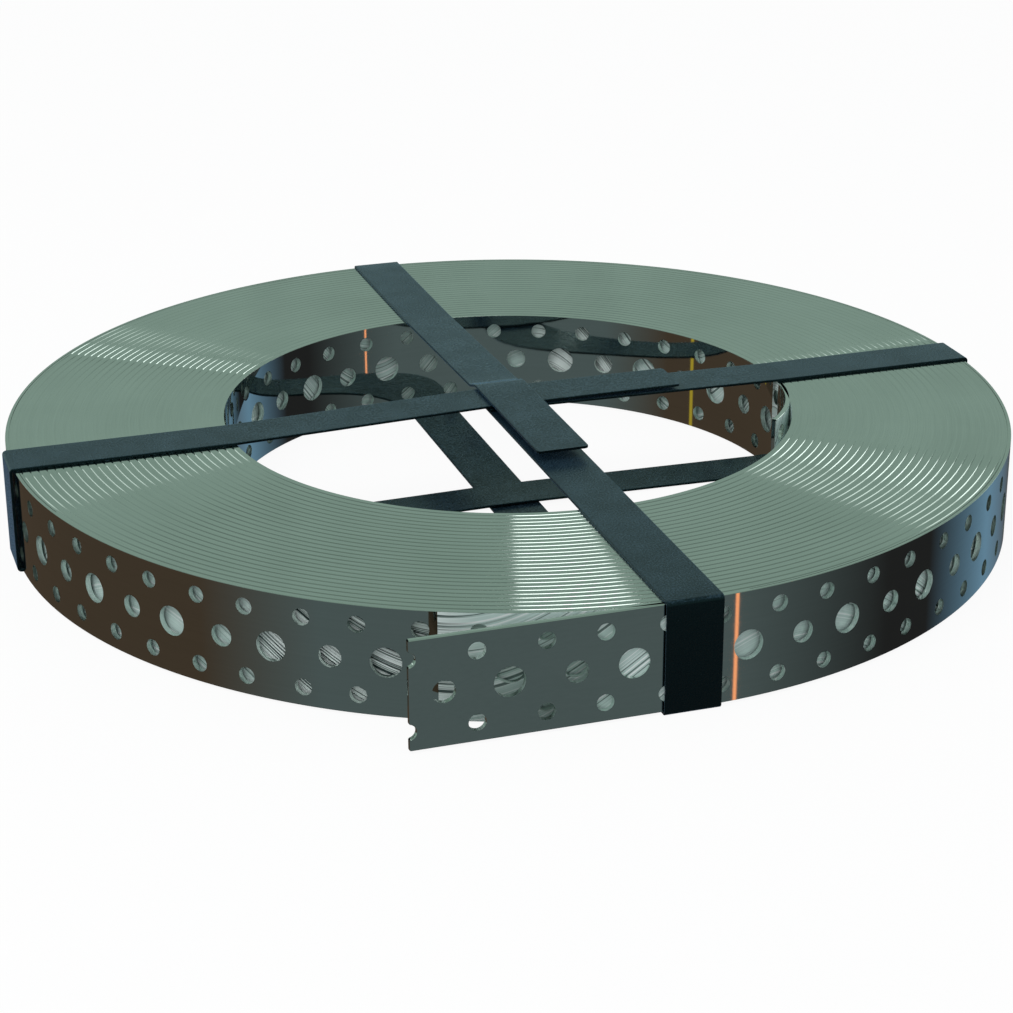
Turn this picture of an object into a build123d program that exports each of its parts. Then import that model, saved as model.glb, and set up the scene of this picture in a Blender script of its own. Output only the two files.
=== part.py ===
# A flat coil of perforated steel strip, lying on its side and held by two crossed packing straps.
# The origin is on the coil's axis, at the floor under the straps, and +Z is up.
# The front strap runs along Y and the cross strap along X.
# The strip's outer end leaves the coil under the front strap and runs straight towards -X.

import os
from math import acos, asin, cos, degrees, radians, sin, tan

from build123d import *

os.makedirs("parts", exist_ok=True)

# Strip
strip_width = 40.0
strip_thickness = 2.0

# Coil
turns = 28
bore_diameter = 226.0
turn_gap = 1.07
groove_depth = 0.6

# Free ends of the strip
tail_length = 98.8
tail_angle = -90.0
inner_end_radius = 58.0
inner_end_sweep = 43.0
inner_end_angle = -6.0

# Perforation, which repeats round a turn: a large hole, a pair, a medium hole, a pair
repeats_per_turn = 30
large_hole_diameter = 11.1
medium_hole_diameter = 8.2
small_hole_diameter = 6.2
small_hole_edge_distance = 7.0
first_pair_step = 11.8
medium_hole_step = 21.8
second_pair_step = 31.5

# Packing straps
strap_width = 20.5
strap_thickness = 1.0
strap_layer_gap = 0.5
strap_wall_clearance = 0.6

# Where the straps cross, each top run ends past the other strap
crossing_clearance = 2.0
lift_off_clearance = 1.0
hidden_end_reach = 1.0
ramp_length = 6.0
ramp_foot_layers = 1.5
ramp_bend_radius = 12.0
front_strap_overlap = 67.0
cross_strap_overlap = 70.0

# Worked out from the sizes above
bore_radius = bore_diameter / 2
turn_pitch = strip_thickness + turn_gap
outer_radius = bore_radius + turns * turn_pitch - turn_gap
coil_base = strap_thickness
coil_top = coil_base + strip_width
middle_row = (coil_base + strip_width / 2,)
pair_rows = (coil_base + small_hole_edge_distance, coil_top - small_hole_edge_distance)
repeat_angle = 360 / repeats_per_turn


def wound_section():
    """Half section of the turns between the first and the last, with a groove at every gap."""
    edge = [(bore_radius + strip_thickness, 0)]
    for turn in range(1, turns):
        turn_radius = bore_radius + turn * turn_pitch
        edge.append((turn_radius - turn_gap / 2, groove_depth))
        edge.append((turn_radius, 0))
        edge.append((turn_radius + strip_thickness, 0))
    edge.pop()
    lower = [(radius, coil_base + depth) for radius, depth in edge]
    upper = [(radius, coil_top - depth) for radius, depth in edge]
    return lower + upper[::-1]


def hole_column(step, diameter, rows):
    """A column of equal holes: its angle in each repeat, its hole radius and its heights."""
    return degrees(step / outer_radius), diameter / 2, rows


columns = [
    hole_column(0, large_hole_diameter, middle_row),
    hole_column(first_pair_step, small_hole_diameter, pair_rows),
    hole_column(medium_hole_step, medium_hole_diameter, middle_row),
    hole_column(second_pair_step, small_hole_diameter, pair_rows),
]

# The tail lies on the outer turn up to this angle past its start, and hides the holes there
covered_angle = degrees(acos(1 - strip_thickness / outer_radius) + large_hole_diameter / 2 / outer_radius)


def column_angles(angle_in_repeat):
    """Angles of a column in every repeat, each as the angle past the start of the tail."""
    for repeat in range(repeats_per_turn):
        yield (tail_angle - angle_in_repeat - repeat * repeat_angle) % 360


def wall_planes(angle_in_repeat, rows):
    """Planes on the outer turn that face away from the axis, one for each hole of a column."""
    planes = []
    for past_start in column_angles(angle_in_repeat):
        direction = radians(tail_angle - past_start)
        outwards = (cos(direction), sin(direction), 0)
        if past_start > covered_angle:
            for height in rows:
                centre = (outer_radius * outwards[0], outer_radius * outwards[1], height)
                planes.append(Plane(origin=centre, x_dir=(0, 0, 1), z_dir=outwards))
    return planes


def tail_centres(angle_in_repeat, rows):
    """Hole centres on the straight tail: the columns of the turn, carried out to its tangent."""
    tail_sweep = degrees(acos(outer_radius / (outer_radius**2 + tail_length**2) ** 0.5))
    last_column = tail_sweep + degrees(small_hole_diameter / 2 / outer_radius)
    reached = [past for past in column_angles(angle_in_repeat) if past < last_column]
    return [(-outer_radius * tan(radians(past)), height) for past in reached for height in rows]


# Where the inner end's back leaves the bore, as an angle past the point where its front leaves
bend_offset = bore_radius - inner_end_radius
back_radius = inner_end_radius + strip_thickness
back_cosine = (bore_radius**2 + bend_offset**2 - back_radius**2) / (2 * bore_radius * bend_offset)
back_leaves = degrees(acos(back_cosine))
bend_centre = (bend_offset * cos(radians(inner_end_angle)), bend_offset * sin(radians(inner_end_angle)))
back_direction = inner_end_angle - back_leaves
back_height = bore_radius * sin(radians(back_direction)) - bend_centre[1]
back_start = degrees(asin(back_height / back_radius))
tip_direction = inner_end_angle - inner_end_sweep

# The coil, with the holes of its outer turn and the two free ends of its strip
with BuildPart() as perforated_strip:
    with BuildSketch(Plane.XZ):
        with BuildLine():
            Polyline(*wound_section(), close=True)
        make_face()
    revolve(axis=Axis.Z)

    # Outer turn: it runs the whole way round and then straight on as the tail
    with BuildSketch(Plane.XY.offset(coil_base)):
        with BuildLine():
            leaves_turn = degrees(acos(1 - strip_thickness / outer_radius))
            outside = CenterArc((0, 0), outer_radius, tail_angle, 360 - leaves_turn)
            Polyline(
                outside @ 1,
                (-tail_length, strip_thickness - outer_radius),
                (-tail_length, -outer_radius),
                outside @ 0,
            )
        make_face()
        Circle(outer_radius - strip_thickness, mode=Mode.SUBTRACT)
    extrude(amount=strip_width)

    # Inner turn: it runs the whole way round and then curves into the bore
    with BuildSketch(Plane.XY.offset(coil_base)):
        Circle(bore_radius + strip_thickness)
        with BuildLine():
            inside = CenterArc((0, 0), bore_radius, inner_end_angle, 360 - back_leaves)
            front = CenterArc(bend_centre, inner_end_radius, inner_end_angle, -inner_end_sweep)
            back = CenterArc(bend_centre, back_radius, tip_direction, back_start - tip_direction)
            Line(front @ 1, back @ 0)
        make_face(mode=Mode.SUBTRACT)
    extrude(amount=strip_width)

    for angle_in_repeat, hole_radius, rows in columns:
        with Locations(*wall_planes(angle_in_repeat, rows)):
            Hole(radius=hole_radius, depth=strip_thickness)

    for angle_in_repeat, hole_radius, rows in columns:
        with BuildSketch(Plane.XZ.offset(outer_radius)):
            with Locations(*tail_centres(angle_in_repeat, rows)):
                Circle(hole_radius)
        extrude(amount=-strip_thickness, mode=Mode.SUBTRACT)

perforated_strip.part.label = "perforated_strip"
export_step(perforated_strip.part, "parts/perforated_strip.step")

# Heights and distances of the middle of a strap's thickness
floor_run = strap_thickness / 2
top_run = coil_top + strap_thickness / 2
side_run = outer_radius + strap_wall_clearance + strap_thickness / 2
layer = strap_thickness + strap_layer_gap
crossing_edge = strap_width / 2 + crossing_clearance
ramp_foot = crossing_edge + ramp_length
lift_off = bore_radius - lift_off_clearance
hidden_end = strap_width / 2 + hidden_end_reach
corner_bend = strap_wall_clearance + strap_thickness / 2

# Each route is given as (distance, height, bend radius) corners.
# Bottom to top where they cross: the front strap, the cross strap twice, the front strap again.
# From the bore's edge to there, a run that crosses over another is taut and rises in a straight line.
front_route = [
    (hidden_end, top_run, 0),
    (-side_run, top_run, corner_bend),
    (-side_run, floor_run, corner_bend),
    (side_run, floor_run, corner_bend),
    (side_run, top_run, corner_bend),
    (lift_off, top_run, ramp_bend_radius),
    (ramp_foot, top_run + ramp_foot_layers * layer, ramp_bend_radius),
    (crossing_edge, top_run + 3 * layer, ramp_bend_radius),
    (-front_strap_overlap, top_run + 3 * layer, 0),
]
cross_route = [
    (-hidden_end, top_run + layer, 0),
    (crossing_edge, top_run + layer, ramp_bend_radius),
    (lift_off, top_run, ramp_bend_radius),
    (side_run, top_run, corner_bend),
    (side_run, floor_run, corner_bend),
    (lift_off, floor_run, ramp_bend_radius),
    (crossing_edge, floor_run + layer, ramp_bend_radius),
    (-crossing_edge, floor_run + layer, ramp_bend_radius),
    (-lift_off, floor_run, ramp_bend_radius),
    (-side_run, floor_run, corner_bend),
    (-side_run, top_run, corner_bend),
    (-lift_off, top_run, ramp_bend_radius),
    (-crossing_edge, top_run + 2 * layer, ramp_bend_radius),
    (cross_strap_overlap, top_run + 2 * layer, 0),
]

# The straps, each swept along its route
for name, plane, route in (("front_strap", Plane.YZ, front_route), ("cross_strap", Plane.XZ, cross_route)):
    corners = [(distance, height) for distance, height, bend in route]
    bends = [bend for distance, height, bend in route[1:-1]]
    with BuildPart() as strap:
        with BuildLine(plane) as centre_line:
            FilletPolyline(*corners, radius=bends)
        with BuildSketch(Plane(origin=centre_line.line @ 0, x_dir=plane.z_dir, z_dir=centre_line.line % 0)):
            Rectangle(strap_width, strap_thickness)
        sweep()

    strap.part.label = name
    export_step(strap.part, f"parts/{name}.step")
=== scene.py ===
# Dresses the flat coil of perforated steel strip: its turns, holes, free ends and straps, and the studio.
# Lengths are in millimetres and angles in degrees until they become mesh points or node values.
# The frame is the part's own, with the coil's axis along +Z and the floor at zero.

import math

import bmesh
import bpy
from mathutils import Matrix, Vector
from mathutils.geometry import delaunay_2d_cdt


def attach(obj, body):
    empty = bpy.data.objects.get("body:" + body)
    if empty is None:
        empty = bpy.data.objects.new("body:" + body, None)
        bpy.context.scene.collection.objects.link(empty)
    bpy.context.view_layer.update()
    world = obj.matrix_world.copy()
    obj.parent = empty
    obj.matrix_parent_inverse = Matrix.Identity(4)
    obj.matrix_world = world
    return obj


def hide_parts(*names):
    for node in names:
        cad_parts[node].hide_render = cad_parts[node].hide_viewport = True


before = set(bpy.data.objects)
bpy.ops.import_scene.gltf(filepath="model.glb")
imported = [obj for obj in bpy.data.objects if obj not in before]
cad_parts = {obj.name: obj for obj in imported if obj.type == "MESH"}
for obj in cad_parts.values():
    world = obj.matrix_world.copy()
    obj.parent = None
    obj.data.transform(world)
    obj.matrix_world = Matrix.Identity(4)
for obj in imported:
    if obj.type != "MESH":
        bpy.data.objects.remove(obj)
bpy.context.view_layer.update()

MM = 0.001

# Strip and coil
STRIP_WIDTH = 40.0
THICKNESS = 2.0
TURNS = 28
BORE_RADIUS = 113.0
TURN_GAP = 1.07
PITCH = THICKNESS + TURN_GAP
OUTER_RADIUS = BORE_RADIUS + TURNS * PITCH - TURN_GAP
BASE = 1.0
TOP = BASE + STRIP_WIDTH
EDGE_ROUND = 0.12
FREE_EDGE_ROUND = 0.4
GROOVE_DEPTH = 0.3

# Each edge of the strip swells a little over the gap beside it, so the lines between turns look thin
SHOULDER = 0.26
SHOULDER_DROP = 0.05

# The sides of the grooves look flatter where the turns lie tight
TIGHT_SECTORS = ((-38.0, 6.0), (142.0, 186.0))
TIGHT_TILT = 0.15
TIGHT_FADE = 3.0

# The outer turn lies a little loose over part of its length
LOOSE_TURN = 1.2
LOOSE_GAP = 0.22
LOOSE_DEPTH = 1.2
LOOSE_GAP_ANGLES = (-83.9, 196.1)

# Spans of azimuth on the walls behind the free ends that get the pale material, as painted light
PAINTED_LIGHT_BEHIND_TAIL = (245.1, 270.0)
PAINTED_LIGHT_BEHIND_INNER_END = (320.0, 358.0)

# Columns of holes in a repeat: place in the repeat, radius, heights
LARGE, MEDIUM, SMALL = 5.55, 4.1, 3.1
PAIR_EDGE_DISTANCE = 7.0
MIDDLE_ROW = ((BASE + TOP) / 2,)
PAIR_ROWS = (BASE + PAIR_EDGE_DISTANCE, TOP - PAIR_EDGE_DISTANCE)

# On the outer turn, with places in millimetres
OUTER_REPEATS = 30
OUTER_COLUMNS = [(0.0, LARGE, MIDDLE_ROW), (11.8, SMALL, PAIR_ROWS),
                 (21.8, MEDIUM, MIDDLE_ROW), (31.5, SMALL, PAIR_ROWS)]
OUTER_CELL_START = -1.9

# The holes behind the tail's root, as (repeat, column)
HIDDEN_BY_TAIL = {(22, 0), (22, 1), (21, 3)}

# On the inner turn, with places in degrees, and past the bend of the inner end
INNER_REPEATS = 18
INNER_COLUMNS = [(0.0, LARGE, MIDDLE_ROW), (5.0, SMALL, PAIR_ROWS),
                 (10.0, MEDIUM, MIDDLE_ROW), (15.0, SMALL, PAIR_ROWS)]
INNER_CELL_START = -2.9
INNER_END_COLUMNS = [(10, MEDIUM, MIDDLE_ROW), (15, SMALL, PAIR_ROWS),
                     (20, LARGE, MIDDLE_ROW), (25, SMALL, PAIR_ROWS)]

# Free ends
TAIL_ANGLE = -90.0
TAIL_LENGTH = 98.8
BEND_RADIUS = 58.0
BEND_SWEEP = 43.0
BEND_ANGLE = -6.0

# Straps
STRAP_WIDTH = 20.5
STRAP_THICKNESS = 1.0
STRAP_LAYER_GAP = 0.5
LAYER = STRAP_THICKNESS + STRAP_LAYER_GAP
STRAP_CLEARANCE = 0.6
STRAP_BEVEL = 0.16
STRAP_CORNER_CUT = 0.048
STRAP_FLAT_MARGIN = 0.3
STRAP_END_ROUND = 1.5
CROSSING_CLEARANCE = 2.0
RAMP_LENGTH = 6.0
RAMP_FOOT_LAYERS = 1.5
RAMP_BEND = 12.0
LIFT_OFF = 1.0
HIDDEN_END = 1.0
FRONT_OVERLAP = 67.0
CROSS_OVERLAP = 70.0

# How finely the shapes are cut up
STEPS_PER_TURN = 360
SEAM_ANGLE = 0.1
LARGE_HOLE_SIDES, SMALL_HOLE_SIDES = 40, 32
SHEET_ROWS = 14
FREE_END_COLUMNS = 30
CUT_HOLE_STEPS = 20
HOLE_MARGIN = 0.45
EDGE_STEPS = (0, 30, 60, 90)
STRAP_BEND_STEP = 8
STRAP_STEP = 12
STRAP_END_STEPS = (0.25, 0.6, 1.0, 1.5)
STRAP_SHARP_ANGLE = 50

# Small lengths: below TINY two places count as one, and normals are found by a step of NUDGE
TINY = 1e-6
NUDGE = 0.01
MESH_TOLERANCE = 1e-5
HOLE_SHRINK = 0.995

# Material numbers of the strip's pieces; the third is the pale material of painted light and painted
# reflection
FACE, HOLE, PAINTED_LIGHT = 0, 1, 2

# Normals (radial, up) across the edges of the turns
FLAT = (0.0, 1.0)
OUTWARDS, INWARDS = (1.0, 0.0), (-1.0, 0.0)
LEAN_OUT, LEAN_IN = (0.14, 0.99), (-0.14, 0.99)
DOWN_OUT, DOWN_IN = (0.746, 0.666), (-0.883, 0.469)


class Sheets:
    """Collects faces that carry their own normals and a material number."""

    def __init__(self):
        self.points, self.normals, self.faces, self.slots = [], [], [], []

    def add(self, points, normals, faces, slot=FACE):
        """Adds faces with one slot or a list of slots, each turned to the side its normals point to."""
        start = len(self.points)
        self.points.extend(points)
        self.normals.extend(normals)
        self.slots.extend(slot if isinstance(slot, list) else [slot] * len(faces))
        for face in faces:
            a, b, c = (Vector(points[i]) for i in face[:3])
            if (b - a).cross(c - a).dot(Vector(normals[face[0]]) + Vector(normals[face[1]])) < 0:
                face = face[::-1]
            self.faces.append(tuple(start + i for i in face))

    def build(self, name, materials):
        mesh = bpy.data.meshes.new(name)
        mesh.from_pydata([Vector(p) * MM for p in self.points], [], self.faces)
        for material in materials:
            mesh.materials.append(material)
        for polygon, slot in zip(mesh.polygons, self.slots):
            polygon.material_index = slot
            polygon.use_smooth = True
        mesh.normals_split_custom_set_from_vertices([Vector(n).normalized() for n in self.normals])
        return place_in_scene(name, mesh)


def place_in_scene(name, data):
    thing = bpy.data.objects.new(name, data)
    bpy.context.scene.collection.objects.link(thing)
    return thing


def steps(start, end, count):
    return [start + (end - start) * i / count for i in range(count + 1)]


def steps_in(angle):
    return round(abs(angle) * STEPS_PER_TURN / 360)


def polar(angle, radius, z):
    a = math.radians(angle)
    return (radius * math.cos(a), radius * math.sin(a), z)


def hole_outline(cx, cy, radius):
    count = LARGE_HOLE_SIDES if radius == LARGE else SMALL_HOLE_SIDES
    angles = [2 * math.pi * i / count for i in range(count)]
    return [(cx + radius * math.cos(a), cy + radius * math.sin(a)) for a in angles]


def inside(x, y, outline):
    """Whether a point is inside a closed outline."""
    hit = False
    for i in range(len(outline)):
        x1, y1 = outline[i]
        x2, y2 = outline[i - 1]
        if (y1 > y) != (y2 > y) and x < (x2 - x1) * (y - y1) / (y2 - y1) + x1:
            hit = not hit
    return hit


def sheet_border(columns_at, rows_at):
    border = [(x, rows_at[0]) for x in columns_at]
    border += [(columns_at[-1], y) for y in rows_at[1:]]
    border += [(x, rows_at[-1]) for x in columns_at[::-1][1:]]
    border += [(columns_at[0], y) for y in rows_at[::-1][1:-1]]
    return border


def flat_cell(columns_at, rows_at, holes, outline=None):
    """Triangles of a flat sheet with round holes (x, y, radius), cut to an outline if it has one."""
    points, edges = [], []
    for loop in [outline or sheet_border(columns_at, rows_at)] + [hole_outline(*hole) for hole in holes]:
        start = len(points)
        points.extend(loop)
        edges.extend([(start + i, start + (i + 1) % len(loop)) for i in range(len(loop))])
    for x in columns_at[1:-1]:
        for y in rows_at[1:-1]:
            if all(math.hypot(x - hx, y - hy) > radius + HOLE_MARGIN for hx, hy, radius in holes):
                points.append((x, y))
    result = delaunay_2d_cdt([Vector(p) for p in points], edges, [], 0, MESH_TOLERANCE)
    triangles = []
    for triangle in result[2]:
        cx = sum(result[0][i].x for i in triangle) / 3
        cy = sum(result[0][i].y for i in triangle) / 3
        in_hole = any(math.hypot(cx - hx, cy - hy) < radius * HOLE_SHRINK for hx, hy, radius in holes)
        if not in_hole and (outline is None or inside(cx, cy, outline)):
            triangles.append(tuple(triangle))
    return [(p.x, p.y) for p in result[0]], triangles


def tube_faces(count):
    """Faces between two loops of points that follow each other."""
    return [(i, (i + 1) % count, count + (i + 1) % count, count + i) for i in range(count)]


def turn_wall(sheets, radius, back_radius, cell_start, repeats, columns, hidden, painted_light_span):
    """A whole turn with its holes: the seen face, its back face and the walls of the holes."""
    side = 1 if radius > back_radius else -1
    scale = radius * math.radians(1)
    cell_angle = 360 / repeats
    columns_at = steps(cell_start * scale, (cell_start + cell_angle) * scale, steps_in(cell_angle))
    rows_at = steps(BASE + EDGE_ROUND, TOP - EDGE_ROUND, SHEET_ROWS)
    cells = {}
    for repeat in range(repeats):
        turned = repeat * cell_angle
        holes = []
        for number, (place, hole_radius, heights) in enumerate(columns):
            if (repeat, number) not in hidden:
                holes.extend([(place, height, hole_radius) for height in heights])
        key = tuple(holes)
        if key not in cells:
            cells[key] = flat_cell(columns_at, rows_at, holes)
        flat, triangles = cells[key]
        middles = [turned + sum(flat[i][0] for i in t) / 3 / scale for t in triangles]
        # Faces in the given span get the pale material, as painted light
        slots = [PAINTED_LIGHT if painted_light_span[0] < middle < painted_light_span[1] else FACE for middle in middles]
        for face_radius, sign in ((radius, side), (back_radius, -side)):
            points = [polar(turned + x / scale, face_radius, y) for x, y in flat]
            normals = [polar(turned + x / scale, sign, 0) for x, y in flat]
            sheets.add(points, normals, triangles, slots)
        for x, y, hole_radius in holes:
            axis = math.radians(turned + x / scale)
            loop = hole_outline(0, 0, hole_radius)
            normals = [(math.sin(axis) * u, -math.cos(axis) * u, -v) for u, v in loop]
            points = [polar(turned + (x + u) / scale, face_radius, y + v)
                      for face_radius in (radius, back_radius) for u, v in loop]
            sheets.add(points, normals * 2, tube_faces(len(loop)), HOLE)


def ring(sheets, start, end, first, last, slot=FACE, soften=None):
    """A band about the axis between two circles, each (radius, height, (radial, up) normal)."""
    points, normals = [], []
    count = steps_in(last - first)
    for angle in steps(first, last, count):
        tilt = soften(angle) if soften else 1.0
        for radius, height, normal in (start, end):
            points.append(polar(angle, radius, height))
            normals.append(polar(angle, tilt * normal[0], normal[1]))
    faces = [(2 * i, 2 * i + 1, 2 * i + 3, 2 * i + 2) for i in range(count)]
    sheets.add(points, normals, faces, slot)


def groove_tilt(angle):
    """How steep the grooves look at an angle: they close up where the turns lie tight."""
    for first, last in TIGHT_SECTORS:
        past_first = (angle - first) % 360
        if past_first < last - first:
            inside_by = min(past_first, (last - angle) % 360)
            return max(TIGHT_TILT, 1.0 - inside_by / TIGHT_FADE)
    return 1.0


def end_face(sheets, upwards):
    """One end of the coil: the edge of every turn with a groove at each gap."""
    up = 1 if upwards else -1
    level = TOP if upwards else BASE

    def band(start, end, first=SEAM_ANGLE, last=SEAM_ANGLE + 360, soften=None):
        """A band between two circles, each (radius, depth, normal), over a range of angles."""
        placed = [(r, level - up * depth, (n[0], up * n[1])) for r, depth, n in (start, end)]
        ring(sheets, *placed, first, last, soften=soften)

    def bands(pairs, first, last):
        for start, end in pairs:
            band(start, end, first, last)

    for turn in range(TURNS):
        r0 = BORE_RADIUS + turn * PITCH
        r1 = r0 + THICKNESS
        flat_start, flat_end = (r0 + EDGE_ROUND, 0, FLAT), (r1 - EDGE_ROUND, 0, FLAT)
        if turn == 0:
            band((r0, EDGE_ROUND, INWARDS), flat_start)
        else:
            band((r0 - SHOULDER, SHOULDER_DROP, LEAN_IN), flat_start)
        if turn < TURNS - 1:
            middle = r1 + TURN_GAP / 2
            band(flat_start, flat_end)
            band(flat_end, (r1 + SHOULDER, SHOULDER_DROP, LEAN_OUT))
            band((r1 + SHOULDER, SHOULDER_DROP, DOWN_OUT), (middle, GROOVE_DEPTH, DOWN_OUT),
                 soften=groove_tilt)
            band((middle, GROOVE_DEPTH, DOWN_IN), (r1 + TURN_GAP - SHOULDER, SHOULDER_DROP, DOWN_IN),
                 soften=groove_tilt)
            continue

        # The outer turn, with the narrow gap where it lies loose
        loose_start, loose_end = LOOSE_GAP_ANGLES
        outer_lip = r1 - LOOSE_TURN
        inner_lip = outer_lip - LOOSE_GAP
        bands([(flat_start, flat_end)], loose_end, loose_start + 360)
        bands([
            (flat_start, (inner_lip, 0, FLAT)),
            ((inner_lip, 0, OUTWARDS), (inner_lip, LOOSE_DEPTH, OUTWARDS)),
            ((inner_lip, LOOSE_DEPTH, FLAT), (outer_lip, LOOSE_DEPTH, FLAT)),
            ((outer_lip, LOOSE_DEPTH, INWARDS), (outer_lip, 0, INWARDS)),
            ((outer_lip, 0, FLAT), flat_end),
        ], loose_start, loose_end)
        band(flat_end, (r1, EDGE_ROUND, OUTWARDS))


def free_end(sheets, place, length, holes, back_slot=FACE):
    """A free end of the strip, laid out by place(distance, height, depth): faces, hole walls, edges."""
    rows_at = steps(BASE + FREE_EDGE_ROUND, TOP - FREE_EDGE_ROUND, SHEET_ROWS)
    columns_at = steps(0.0, length - FREE_EDGE_ROUND, FREE_END_COLUMNS)
    end = columns_at[-1]
    whole = [(x, y, radius) for x, y, radius in holes if x + radius < end]
    cut = [(x, y, radius) for x, y, radius in holes if x - radius < end <= x + radius]

    # The outline goes round the holes that the end cuts through
    outline = [(x, rows_at[0]) for x in columns_at]
    for x, y, radius in sorted(cut, key=lambda hole: hole[1]):
        half_chord = math.acos(max(-1.0, min(1.0, (end - x) / radius)))
        for t in steps(-half_chord, -(2 * math.pi - half_chord), CUT_HOLE_STEPS):
            outline.append((x + radius * math.cos(t), y + radius * math.sin(t)))
    outline += [(end, rows_at[-1])] + [(x, rows_at[-1]) for x in columns_at[::-1][1:]]
    outline += [(0.0, y) for y in rows_at[::-1][1:-1]]

    flat, triangles = flat_cell(columns_at, rows_at, whole, outline)
    for depth, sign, slot in ((0.0, 1, FACE), (THICKNESS, -1, back_slot)):
        points = [place(x, y, depth)[0] for x, y in flat]
        normals = [tuple(sign * c for c in place(x, y, depth)[1]) for x, y in flat]
        sheets.add(points, normals, triangles, slot)
    for hole in whole:
        hole_wall(sheets, place, *hole)
    for a, b in zip(outline, outline[1:] + outline[:1]):
        if a[0] > TINY or b[0] > TINY:
            rounded_edge(sheets, place, a, b)


def hole_wall(sheets, place, x, y, radius):
    """The wall of a hole through a free end."""
    points, normals = [], []
    loop = hole_outline(x, y, radius)
    for depth in (0.0, THICKNESS):
        for u, v in loop:
            here = Vector(place(u, v, depth)[0])
            nearer = Vector(place(u + (x - u) * NUDGE, v + (y - v) * NUDGE, depth)[0])
            points.append(tuple(here))
            normals.append(tuple(nearer - here))
    sheets.add(points, normals, tube_faces(len(loop)), HOLE)


def rounded_edge(sheets, place, a, b):
    """The rounded edge of the strip between its faces, along one stretch of its outline."""
    stretch = math.hypot(b[0] - a[0], b[1] - a[1])
    out = ((b[1] - a[1]) / stretch, (a[0] - b[0]) / stretch)
    profile = []
    for side, start in ((1, 0.0), (-1, THICKNESS)):
        for t in [math.radians(angle) for angle in EDGE_STEPS][::side]:
            depth = start + side * FREE_EDGE_ROUND * (1 - math.cos(t))
            profile.append((FREE_EDGE_ROUND * math.sin(t), depth, math.sin(t), side * math.cos(t)))
    points, normals = [], []
    for u, v in (a, b):
        for reach, depth, n_out, n_face in profile:
            here, face_normal = place(u + out[0] * reach, v + out[1] * reach, depth)
            farther = place(u + out[0] * (reach + NUDGE), v + out[1] * (reach + NUDGE), depth)[0]
            sideways = (Vector(farther) - Vector(here)).normalized()
            points.append(here)
            normals.append(tuple(sideways * n_out + Vector(face_normal) * n_face))
    count = len(profile)
    sheets.add(points, normals, [(i, count + i, count + i + 1, i + 1) for i in range(count - 1)])


def filleted(corners):
    """Points along a route of (distance, height, bend radius) corners."""
    path = []
    for number, (x, y, radius) in enumerate(corners):
        here = Vector((x, y))
        if radius == 0:
            path.append(here)
            continue
        before = (Vector(corners[number - 1][:2]) - here).normalized()
        after = (Vector(corners[number + 1][:2]) - here).normalized()
        half = before.angle(after) / 2
        reach = radius / math.tan(half)
        centre = here + (before + after).normalized() * (radius / math.sin(half))
        a, b = here + before * reach - centre, here + after * reach - centre
        sweep = a.angle_signed(b)
        count = max(3, int(abs(math.degrees(sweep)) / STRAP_BEND_STEP))
        for t in steps(0.0, -sweep, count):
            turned = (a.x * math.cos(t) - a.y * math.sin(t), a.x * math.sin(t) + a.y * math.cos(t))
            path.append(centre + Vector(turned))
    return path


def strap_path(corners):
    """Points along a strap, closer together at its ends, and their distances from its start."""
    coarse = filleted(corners)
    path = [coarse[0]]
    for a, b in zip(coarse, coarse[1:]):
        count = max(1, int((b - a).length / STRAP_STEP))
        path.extend([a.lerp(b, i / count) for i in range(1, count + 1)])
    distances = [0.0]
    for a, b in zip(path, path[1:]):
        distances.append(distances[-1] + (b - a).length)
    total = distances[-1]
    for depth in STRAP_END_STEPS:
        for target in (depth, total - depth):
            for i in range(len(path) - 1):
                if distances[i] < target - TINY and distances[i + 1] > target + TINY:
                    t = (target - distances[i]) / (distances[i + 1] - distances[i])
                    path.insert(i + 1, path[i].lerp(path[i + 1], t))
                    distances.insert(i + 1, target)
                    break
    return path, distances


def strap_section(half_width):
    """Corners of a strap's section, with bevelled edges and flat faces, going round once."""
    half_thick = STRAP_THICKNESS / 2
    quarter = [
        (half_width, half_thick - STRAP_BEVEL),
        (half_width - STRAP_CORNER_CUT, half_thick - STRAP_CORNER_CUT),
        (half_width - STRAP_BEVEL, half_thick),
        (half_width - STRAP_BEVEL - STRAP_FLAT_MARGIN, half_thick),
    ]
    lower = [(-x, -y) for x, y in quarter] + [(x, -y) for x, y in quarter[::-1]]
    return lower + quarter + [(-x, y) for x, y in quarter[::-1]]


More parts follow.
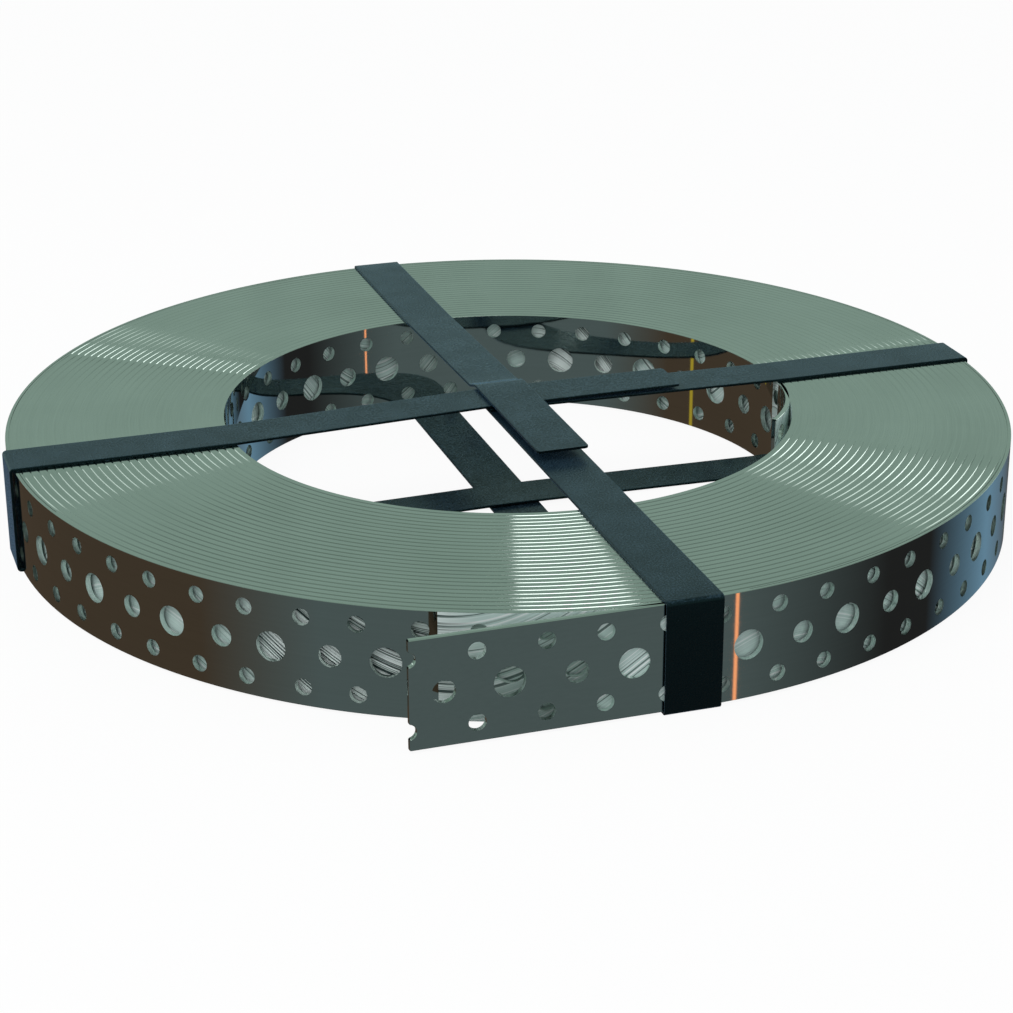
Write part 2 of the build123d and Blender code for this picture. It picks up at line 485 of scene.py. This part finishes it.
def strap_mesh(name, corners, along_x, material):
    """A strap swept along its route, with rounded long edges and rounded ends."""
    path, distances = strap_path(corners)
    last = len(path) - 1
    points, faces = [], []
    for i, here in enumerate(path):
        direction = (path[min(i + 1, last)] - path[max(i - 1, 0)]).normalized()
        normal = Vector((-direction.y, direction.x))
        from_round = STRAP_END_ROUND - min(distances[i], distances[-1] - distances[i])
        narrower = 0.0
        if from_round > 0:
            narrower = STRAP_END_ROUND - math.sqrt(max(0.0, STRAP_END_ROUND ** 2 - from_round ** 2))
        section = strap_section(STRAP_WIDTH / 2 - narrower)
        for across, up in section:
            p = here + normal * up
            points.append((p.x, across, p.y) if along_x else (across, p.x, p.y))
    n = len(section)
    for i in range(last):
        for k in range(n):
            m = (k + 1) % n
            faces.append((i * n + k, i * n + m, (i + 1) * n + m, (i + 1) * n + k))
    faces.append(tuple(range(n))[::-1])
    faces.append(tuple(last * n + k for k in range(n)))
    mesh = bpy.data.meshes.new(name)
    mesh.from_pydata([Vector(p) * MM for p in points], [], faces)
    mesh.materials.append(material)
    for polygon in mesh.polygons:
        polygon.use_smooth = True
    mesh.validate()
    work = bmesh.new()
    work.from_mesh(mesh)
    bmesh.ops.recalc_face_normals(work, faces=work.faces)
    work.to_mesh(mesh)
    work.free()
    mesh.set_sharp_from_angle(angle=math.radians(STRAP_SHARP_ANGLE))
    return place_in_scene(name, mesh)


class Graph:
    """Adds nodes to a node tree. A value is an output to link, or a constant to set."""

    def __init__(self, tree):
        self.nodes, self.links = tree.nodes, tree.links

    def put(self, socket, value):
        if isinstance(value, bpy.types.NodeSocket):
            self.links.new(value, socket)
        else:
            socket.default_value = value

    def fill(self, node, values):
        for name, value in values.items():
            self.put(node.inputs[name], value)

    def add(self, kind, values):
        """A node with its inputs linked or set."""
        node = self.nodes.new("ShaderNode" + kind)
        self.fill(node, values)
        return node

    def math(self, operation, *values):
        node = self.nodes.new("ShaderNodeMath")
        node.operation = operation
        self.fill(node, dict(enumerate(values)))
        return node.outputs[0]

    def noise(self, place, scale, detail, roughness=0.5):
        """Noise at a place in space, or along one number."""
        node = self.nodes.new("ShaderNodeTexNoise")
        if place.type == "VALUE":
            node.noise_dimensions = "1D"
        where = "W" if place.type == "VALUE" else "Vector"
        self.fill(node, {where: place, "Scale": scale, "Detail": detail, "Roughness": roughness})
        return node.outputs["Fac"]

    def ramp(self, value, stops):
        """A colour ramp with the given (position, colour) stops."""
        node = self.add("ValToRGB", {0: value})
        elements = node.color_ramp.elements
        elements.remove(elements[1])
        elements[0].position, elements[0].color = stops[0]
        for position, colour in stops[1:]:
            elements.new(position).color = colour
        return node.outputs[0]

    def remap(self, value, low, high, to_low=0.0, to_high=1.0, smooth=False):
        node = self.nodes.new("ShaderNodeMapRange")
        node.interpolation_type = "SMOOTHSTEP" if smooth else "LINEAR"
        self.fill(node, {"Value": value, "From Min": low, "From Max": high})
        self.fill(node, {"To Min": to_low, "To Max": to_high})
        return node.outputs[0]

    def mix(self, factor, a, b, blend="MIX"):
        """Mixes two colours."""
        node = self.nodes.new("ShaderNodeMix")
        node.data_type = "RGBA"
        node.blend_type = blend
        self.fill(node, {"Factor": factor, "A": a, "B": b})
        return node.outputs["Result"]

    def mix_shaders(self, factor, first, second):
        return self.add("MixShader", {0: factor, 1: first, 2: second}).outputs[0]

    def parts(self, vector):
        return self.add("SeparateXYZ", {0: vector}).outputs

    def around(self, parts):
        """The angle about the axis, in radians."""
        return self.math("ARCTAN2", parts["Y"], parts["X"])


def new_material(name):
    material = bpy.data.materials.new(name)
    material.use_nodes = True
    return material, Graph(material.node_tree), material.node_tree.nodes["Principled BSDF"]


# Rolled steel: its clouds, and the part of the grain over which its colour and gloss change
CLOUD_SCALE = 22.0
COLOUR_RANGE = (0.35, 0.65)
GLOSS_RANGE = (0.3, 0.7)
STEEL_RELIEF = 0.00002


def steel_material(name, colour, dark, roughness, grain, relief):
    """Rolled steel: fine grain stretched along the strip varies its colour, gloss and surface."""
    material, graph, shader = new_material(name)
    where = graph.add("TexCoord", {}).outputs["Object"]
    parts = graph.parts(where)
    square = graph.math("MULTIPLY", parts["X"], parts["X"])
    from_axis = graph.math("SQRT", graph.math("MULTIPLY_ADD", parts["Y"], parts["Y"], square))
    unrolled = graph.add("CombineXYZ", {"X": graph.around(parts), "Y": from_axis, "Z": parts["Z"]})
    stretched = graph.add("Mapping", {"Vector": unrolled.outputs[0], "Scale": grain})
    streaks = graph.noise(stretched.outputs[0], scale=1.0, detail=5.0)
    clouds = graph.math("MULTIPLY", graph.noise(where, CLOUD_SCALE, detail=3.0), 0.5)
    blend = graph.math("MULTIPLY_ADD", streaks, 0.5, clouds)
    bump = graph.add("Bump", {"Strength": relief, "Distance": STEEL_RELIEF, "Height": streaks})
    graph.fill(shader, {
        "Base Color": graph.ramp(blend, list(zip(COLOUR_RANGE, ((*dark, 1), (*colour, 1))))),
        "Metallic": 1.0,
        "Roughness": graph.remap(blend, *GLOSS_RANGE, *roughness),
        "Normal": bump.outputs[0],
    })
    return material


# Painted reflection on the turn behind the holes: pale colours and slanting streaks stand in for the light
# that it would mirror
CALM_PAINTED_REFLECTION = [(0.33, (0.12, 0.17, 0.16, 1)), (0.38, (0.55, 0.70, 0.66, 1)),
              (0.55, (0.66, 0.82, 0.78, 1)), (0.66, (0.95, 1.0, 0.99, 1))]
STRONG_PAINTED_REFLECTION = [(0.41, (0.03, 0.05, 0.05, 1)), (0.44, (0.92, 1.0, 0.98, 1)),
                (0.58, (0.92, 1.0, 0.98, 1)), (0.61, (0.09, 0.14, 0.13, 1))]

# The painted streaks slant up and down a few times round the coil, and in two sectors of azimuth they are
# painted with strong contrast, as painted highlights
SLANT_WAVES, SLANT_PHASE, SLANT_HEIGHT = 5.0, -60, 0.03
STRONG_PHASE, STRONG_SECTOR = 248, (0.90, 0.97)
MARKS_SCALE = 800.0
PAINTED_REFLECTION_METALLIC = (0.25, 0.0)
PAINTED_REFLECTION_ROUGHNESS = 0.35


def painted_reflection_material():
    """The next turn, seen through the holes: a painted reflection, pale, with slanting streaks that are
    painted brighter in two sectors of azimuth.
    """
    material, graph, shader = new_material("painted_reflection_steel")
    parts = graph.parts(graph.add("TexCoord", {}).outputs["Object"])
    around = graph.around(parts)
    sway = graph.math("SINE", graph.math("MULTIPLY_ADD", around, SLANT_WAVES, math.radians(SLANT_PHASE)))
    slant = graph.math("MULTIPLY_ADD", sway, SLANT_HEIGHT, parts["Z"])
    marks = graph.noise(slant, MARKS_SCALE, detail=3.0, roughness=0.6)
    facing = graph.math("COSINE", graph.math("MULTIPLY_ADD", around, 2.0, math.radians(STRONG_PHASE)))
    strong = graph.remap(facing, *STRONG_SECTOR)
    graph.fill(shader, {
        "Base Color": graph.mix(strong, graph.ramp(marks, CALM_PAINTED_REFLECTION), graph.ramp(marks, STRONG_PAINTED_REFLECTION)),
        "Metallic": graph.remap(marks, 0.0, 1.0, *PAINTED_REFLECTION_METALLIC),
        "Roughness": PAINTED_REFLECTION_ROUGHNESS,
    })
    return material


# Strapping: a near-black painted shade on faces that stand upright, and on faces that look up or down
# enough its speckle, whose blue tint partly paints the sky's reflection
STRAP_PAINTED_SHADE = (0.001, 0.0015, 0.002, 1)
STRAP_SPECKLE_AND_PAINTED_SKY = [(0.40, (0.002, 0.004, 0.005, 1)), (0.52, (0.007, 0.016, 0.023, 1)),
                 (0.62, (0.024, 0.044, 0.060, 1))]
STRAP_LEVEL_RANGE = (0.3, 0.8)
STRAP_GRAIN_SCALE, STRAP_GRAIN_SHARE = 1500.0, 0.8
STRAP_CLOUD_SCALE, STRAP_CLOUD_SHARE = 90.0, 0.2
STRAP_GLOSS_RANGE, STRAP_ROUGHNESS = (0.35, 0.65), (0.36, 0.20)
STRAP_RELIEF = 0.0001


def strap_material():
    """Dark blue-black strapping: speckled grain on level runs, tinted blue in part as a painted sky
    reflection, and painted shade where it stands upright.
    """
    material, graph, shader = new_material("strap_colour_and_shade")
    where = graph.add("TexCoord", {}).outputs
    grain = graph.noise(where["Object"], STRAP_GRAIN_SCALE, detail=2.0, roughness=0.6)
    clouds = graph.noise(where["Object"], STRAP_CLOUD_SCALE, detail=4.0)
    grain_part = graph.math("MULTIPLY", grain, STRAP_GRAIN_SHARE)
    both = graph.math("MULTIPLY_ADD", clouds, STRAP_CLOUD_SHARE, grain_part)
    up_or_down = graph.math("ABSOLUTE", graph.parts(where["Normal"])["Z"])
    level_share = graph.remap(up_or_down, *STRAP_LEVEL_RANGE)
    bump = graph.add("Bump", {"Strength": 0.35, "Distance": STRAP_RELIEF, "Height": grain})
    graph.fill(shader, {
        # Upright faces get the painted shade; level faces get the speckle with its painted sky tint
        "Base Color": graph.mix(level_share, STRAP_PAINTED_SHADE, graph.ramp(both, STRAP_SPECKLE_AND_PAINTED_SKY)),
        "Roughness": graph.remap(both, *STRAP_GLOSS_RANGE, *STRAP_ROUGHNESS),
        "Normal": bump.outputs[0],
        "Specular IOR Level": 0.40,
        "Specular Tint": (0.45, 0.85, 1.0, 1),
        "Sheen Weight": 0.32,
        "Sheen Roughness": 0.30,
        "Sheen Tint": (0.25, 0.60, 1.0, 1),
    })
    return material


face_steel = steel_material(
    "bright_steel", colour=(0.66, 0.70, 0.68), dark=(0.62, 0.66, 0.64),
    roughness=(0.02, 0.05), grain=(3.0, 900.0, 900.0), relief=0.05)
hole_steel = steel_material(
    "punched_steel", colour=(0.84, 0.90, 0.87), dark=(0.66, 0.72, 0.69),
    roughness=(0.14, 0.26), grain=(60.0, 900.0, 500.0), relief=0.3)
end_steel = steel_material(
    "edge_steel", colour=(0.62, 0.66, 0.64), dark=(0.54, 0.58, 0.56),
    roughness=(0.07, 0.13), grain=(6.0, 2500.0, 60.0), relief=0.2)
# Pale material that paints reflection and light on the turns
painted_light_steel = painted_reflection_material()
# Strapping whose colour paints shade on upright faces
strap_colour_and_shade = strap_material()

# The two ends of the coil
for name, upwards in (("coil_top", True), ("coil_underside", False)):
    sheets = Sheets()
    end_face(sheets, upwards)
    piece = sheets.build(name, [end_steel])
    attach(piece, "root")
    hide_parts("perforated_strip")

# The outer and inner turns, and behind the holes of each the face of the turn next to it
outer_scale = OUTER_RADIUS * math.radians(1)
inner_scale = BORE_RADIUS * math.radians(1)
inner_columns = [(angle * inner_scale, radius, heights) for angle, radius, heights in INNER_COLUMNS]
sheets = Sheets()
# Both walls carry spans of the pale material, as painted light
turn_wall(sheets, OUTER_RADIUS, OUTER_RADIUS - THICKNESS, OUTER_CELL_START, OUTER_REPEATS,
          OUTER_COLUMNS, HIDDEN_BY_TAIL, PAINTED_LIGHT_BEHIND_TAIL)
turn_wall(sheets, BORE_RADIUS, BORE_RADIUS + THICKNESS, INNER_CELL_START, INNER_REPEATS,
          inner_columns, (), PAINTED_LIGHT_BEHIND_INNER_END)
# The faces behind the holes get the pale material, as painted reflection
for radius, normal in ((OUTER_RADIUS - PITCH, OUTWARDS), (BORE_RADIUS + PITCH, INWARDS)):
    ring(sheets, (radius, BASE + GROOVE_DEPTH, normal), (radius, TOP - GROOVE_DEPTH, normal),
         0, -360 * normal[0], PAINTED_LIGHT)
walls = sheets.build("strip_walls", [face_steel, hole_steel, painted_light_steel])
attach(walls, "root")
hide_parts("perforated_strip")

# The straight tail at the outer end, with the columns of the turn carried out to its tangent
tail_holes = []
for repeat in range(OUTER_REPEATS):
    for place, radius, heights in OUTER_COLUMNS:
        past_start = (TAIL_ANGLE - place / outer_scale - repeat * 360 / OUTER_REPEATS) % 360
        out_along_tail = OUTER_RADIUS * math.tan(math.radians(past_start))
        if past_start < 90 and out_along_tail - radius < TAIL_LENGTH:
            tail_holes.extend([(out_along_tail, height, radius) for height in heights])


def tail_place(distance, height, depth):
    """A point of the tail and the normal of its seen face."""
    return (-distance, -OUTER_RADIUS + depth, height), (0.0, -1.0, 0.0)


sheets = Sheets()
free_end(sheets, tail_place, TAIL_LENGTH, tail_holes)
tail = sheets.build("strip_tail", [face_steel, hole_steel])
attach(tail, "root")
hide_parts("perforated_strip")

# The inner end, which curves into the bore
inner_end_holes = []
for angle, radius, heights in INNER_END_COLUMNS:
    inner_end_holes.extend([((angle + BEND_ANGLE) * inner_scale, height, radius) for height in heights])
bend_centre = polar(BEND_ANGLE, BORE_RADIUS - BEND_RADIUS, 0.0)


def inner_end_place(distance, height, depth):
    """A point of the inner end and the normal of its seen face."""
    angle = math.radians(BEND_ANGLE) - distance / BEND_RADIUS
    radius = BEND_RADIUS + depth
    point = (bend_centre[0] + radius * math.cos(angle), bend_centre[1] + radius * math.sin(angle), height)
    return point, (-math.cos(angle), -math.sin(angle), 0.0)


sheets = Sheets()
# The back of the inner end gets the pale material, as painted light
free_end(sheets, inner_end_place, BEND_RADIUS * math.radians(BEND_SWEEP), inner_end_holes, PAINTED_LIGHT)
inner_end = sheets.build("strip_inner_end", [face_steel, hole_steel, painted_light_steel])
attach(inner_end, "root")
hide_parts("perforated_strip")

# Heights and distances of the middle of a strap's thickness
floor_run = STRAP_THICKNESS / 2
top_run = TOP + STRAP_THICKNESS / 2
corner = STRAP_CLEARANCE + STRAP_THICKNESS / 2
side_run = OUTER_RADIUS + corner
crossing_edge = STRAP_WIDTH / 2 + CROSSING_CLEARANCE
ramp_foot = crossing_edge + RAMP_LENGTH
lift_off = BORE_RADIUS - LIFT_OFF
hidden_end = STRAP_WIDTH / 2 + HIDDEN_END

# Bottom to top where they cross: the front strap, the cross strap twice, the front strap again
front_route = [
    (hidden_end, top_run, 0), (-side_run, top_run, corner), (-side_run, floor_run, corner),
    (side_run, floor_run, corner), (side_run, top_run, corner), (lift_off, top_run, RAMP_BEND),
    (ramp_foot, top_run + RAMP_FOOT_LAYERS * LAYER, RAMP_BEND),
    (crossing_edge, top_run + 3 * LAYER, RAMP_BEND), (-FRONT_OVERLAP, top_run + 3 * LAYER, 0),
]
cross_route = [
    (-hidden_end, top_run + LAYER, 0), (crossing_edge, top_run + LAYER, RAMP_BEND),
    (lift_off, top_run, RAMP_BEND), (side_run, top_run, corner), (side_run, floor_run, corner),
    (lift_off, floor_run, RAMP_BEND), (crossing_edge, floor_run + LAYER, RAMP_BEND),
    (-crossing_edge, floor_run + LAYER, RAMP_BEND), (-lift_off, floor_run, RAMP_BEND),
    (-side_run, floor_run, corner), (-side_run, top_run, corner), (-lift_off, top_run, RAMP_BEND),
    (-crossing_edge, top_run + 2 * LAYER, RAMP_BEND), (CROSS_OVERLAP, top_run + 2 * LAYER, 0),
]
for name, route, along_x, node in (("strap_front", front_route, False, "front_strap"),
                                   ("strap_cross", cross_route, True, "cross_strap")):
    piece = strap_mesh(name, route, along_x, strap_colour_and_shade)
    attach(piece, "root")
    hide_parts(node)

# Floor: white to the camera, with the object's shadow, and left out of reflections
FLOOR_REACH = 6.0
FLOOR_COLOUR = (0.45, 0.45, 0.45, 1)
FLOOR_GLOW = 1.08
FLOOR_GLOW_SHARE = 0.86
floor_mesh = bpy.data.meshes.new("floor")
floor_corners = [(FLOOR_REACH * x, FLOOR_REACH * y, 0) for x, y in ((-1, -1), (1, -1), (1, 1), (-1, 1))]
floor_mesh.from_pydata(floor_corners, [], [(0, 1, 2, 3)])
floor = place_in_scene("floor", floor_mesh)
floor_look, graph, shader = new_material("floor_white")
graph.fill(shader, {"Base Color": FLOOR_COLOUR, "Roughness": 1.0})
glow = graph.add("Emission", {"Strength": FLOOR_GLOW}).outputs[0]
seen = graph.add("LightPath", {}).outputs["Is Camera Ray"]
floor_shader = graph.mix_shaders(graph.math("MULTIPLY", seen, FLOOR_GLOW_SHARE), shader.outputs[0], glow)
graph.put(graph.nodes["Material Output"].inputs["Surface"], floor_shader)
floor_mesh.materials.append(floor_look)
floor.visible_glossy = False

# World: white behind the object, plain light on it, and a room of plain bands for the steel to mirror
MIRROR_STRENGTH = 1.5
PLAIN_COLOUR, PLAIN_STRENGTH = (0.95, 0.98, 1.0, 1), 0.7

# The room that the steel mirrors, as a few broad plain surfaces: (azimuth, colour on screen)
DARK, BLUE, BROWN, GREY = (30, 30, 30), (90, 120, 140), (60, 50, 40), (70, 80, 80)
ROOM = [(0, DARK), (30, BLUE), (60, BROWN), (180, BROWN), (210, GREY), (300, GREY), (345, DARK)]

# The sky above it, and its light by height: a darker ring draws the lines between the turns
SKY = (120, 140, 130)
OVERHEAD = [(0.44, 1.0), (0.56, 0.62), (0.85, 0.62), (0.95, 1.0)]
RIPPLE_SCALE, RIPPLE_RANGE, RIPPLE_LIGHT = 420.0, (0.3, 0.7), (0.94, 1.06)
HORIZON = (-0.30, -0.18)

# Thin streaks: two (azimuth, elevation) points, half width, lowest and highest elevation, colour
ORANGE, YELLOW = (250, 160, 110), (150, 130, 40)
STREAKS = [
    ((303, -26), (303, -24), 0.5, -40, -21, ORANGE),
    ((315, -21), (315, -17), 0.5, -21, -15, ORANGE),
    ((167, -21), (167, -17), 1.0, -21, -15, YELLOW),
]
STREAK_SIDE = 20
STREAK_CORE = 0.5

# Round soft panels of light: azimuth, elevation, radius, width of the soft edge, light
PANELS = [
    (273, 58.5, 9.3, 0.5, (1.7, 1.8, 1.75, 1)), (9, 22.5, 4.5, 4, (0.55, 0.6, 0.57, 1)),
    (22, 13, 7, 2, (1.1, 1.2, 1.15, 1)), (123, 14, 7, 3, (0.4, 0.44, 0.42, 1)),
]

world = bpy.data.worlds.new("studio")
bpy.context.scene.world = world
world.use_nodes = True
world.node_tree.nodes.clear()
graph = Graph(world.node_tree)
mirrored_way = graph.add("TexCoord", {}).outputs["Generated"]
way = graph.parts(mirrored_way)
azimuth_share = graph.math("FRACT", graph.math("MULTIPLY_ADD", graph.around(way), 1 / (2 * math.pi), 1.0))


def screen_colour(colour):
    """A colour given as it looks on screen, as a light level."""
    return tuple(c / 255 / 12.92 if c < 11 else ((c / 255 + 0.055) / 1.055) ** 2.4 for c in colour) + (1.0,)


def by_azimuth(bands):
    return graph.ramp(azimuth_share, [(azimuth / 360, screen_colour(colour)) for azimuth, colour in bands])


def direction(azimuth, elevation):
    a, e = math.radians(azimuth), math.radians(elevation)
    return Vector((math.cos(a) * math.cos(e), math.sin(a) * math.cos(e), math.sin(e)))


def sine(angle):
    return math.sin(math.radians(angle))


def cosine(angle):
    return math.cos(math.radians(angle))


def toward(vector):
    """How far the mirrored direction points along a vector."""
    node = graph.nodes.new("ShaderNodeVectorMath")
    node.operation = "DOT_PRODUCT"
    graph.fill(node, {0: mirrored_way, 1: vector})
    return node.outputs["Value"]


def add_streak(before, start, end, half_width, lowest, highest, colour):
    """Adds a streak on the great circle through two directions, on their side of the room."""
    across = direction(*start).cross(direction(*end)).normalized()
    distance = graph.math("ABSOLUTE", toward(across))
    factor = graph.remap(distance, math.radians(half_width), math.radians(half_width * STREAK_CORE))
    for limit in (graph.math("GREATER_THAN", way["Z"], sine(lowest)),
                  graph.math("LESS_THAN", way["Z"], sine(highest)),
                  graph.math("GREATER_THAN", toward(direction(*start)), cosine(STREAK_SIDE))):
        factor = graph.math("MULTIPLY", factor, limit)
    return graph.mix(factor, before, screen_colour(colour))


def add_panel(before, azimuth, elevation, radius, edge_width, light):
    """Adds a panel of light, seen only as a reflection."""
    near = graph.remap(toward(direction(azimuth, elevation)), cosine(radius + edge_width), cosine(radius),
                       smooth=True)
    return graph.mix(near, before, light, "ADD")


mirrored = by_azimuth(ROOM)
for streak in STREAKS:
    mirrored = add_streak(mirrored, *streak)
ripple = graph.remap(graph.noise(azimuth_share, RIPPLE_SCALE, detail=1.0), *RIPPLE_RANGE, *RIPPLE_LIGHT)
overhead = graph.ramp(way["Z"], [(height, (light, light, light, 1)) for height, light in OVERHEAD])
sky = graph.mix(1.0, screen_colour(SKY), graph.mix(1.0, ripple, overhead, "MULTIPLY"), "MULTIPLY")
mirrored = graph.mix(graph.remap(way["Z"], *HORIZON), mirrored, sky)
for panel in PANELS:
    mirrored = add_panel(mirrored, *panel)
rays = graph.add("LightPath", {}).outputs
mirror_light = graph.add("Background", {"Color": mirrored, "Strength": MIRROR_STRENGTH}).outputs[0]
plain_light = graph.add("Background", {"Color": PLAIN_COLOUR, "Strength": PLAIN_STRENGTH}).outputs[0]
white_back = graph.add("Background", {"Color": (1, 1, 1, 1), "Strength": 1.0}).outputs[0]
object_light = graph.mix_shaders(rays["Is Glossy Ray"], plain_light, mirror_light)
graph.add("OutputWorld", {"Surface": graph.mix_shaders(rays["Is Camera Ray"], object_light, white_back)})

# One broad lamp for the shadow
LAMP_PLACE = Vector((-0.9, -0.6, 1.6))
LAMP_SIZE = 0.9
LAMP_POWER = 12.0
light = bpy.data.lights.new("key", "AREA")
light.energy = LAMP_POWER
light.size = LAMP_SIZE
lamp = place_in_scene("key", light)
lamp.location = LAMP_PLACE
lamp.rotation_euler = (-LAMP_PLACE).to_track_quat("-Z", "Y").to_euler()
lamp.visible_glossy = False

# Camera at the photograph's viewing angle
IMAGE_SIDE_PIXELS = 1013
FOCAL_PIXELS = 2511.24
SENSOR_WIDTH = 36.0
CAMERA_PLACE = (-0.2932, -0.8968, 0.3882)
CAMERA_PITCH, CAMERA_HEADING, CAMERA_ROLL = 22.5396, 18.0595, -0.2174
camera_data = bpy.data.cameras.new("camera")
camera_data.sensor_width = SENSOR_WIDTH
camera_data.lens = FOCAL_PIXELS / IMAGE_SIDE_PIXELS * SENSOR_WIDTH
camera = place_in_scene("camera", camera_data)
forward = direction(90 - CAMERA_HEADING, -CAMERA_PITCH)
right = direction(-CAMERA_HEADING, 0.0)
up = right.cross(forward)
across = right * cosine(CAMERA_ROLL) + up * sine(CAMERA_ROLL)
upright = up * cosine(CAMERA_ROLL) - right * sine(CAMERA_ROLL)
basis = Matrix((across, upright, -forward)).transposed().to_4x4()
camera.matrix_world = Matrix.Translation(CAMERA_PLACE) @ basis
bpy.context.scene.camera = camera
bpy.context.scene.view_settings.view_transform = "Standard"
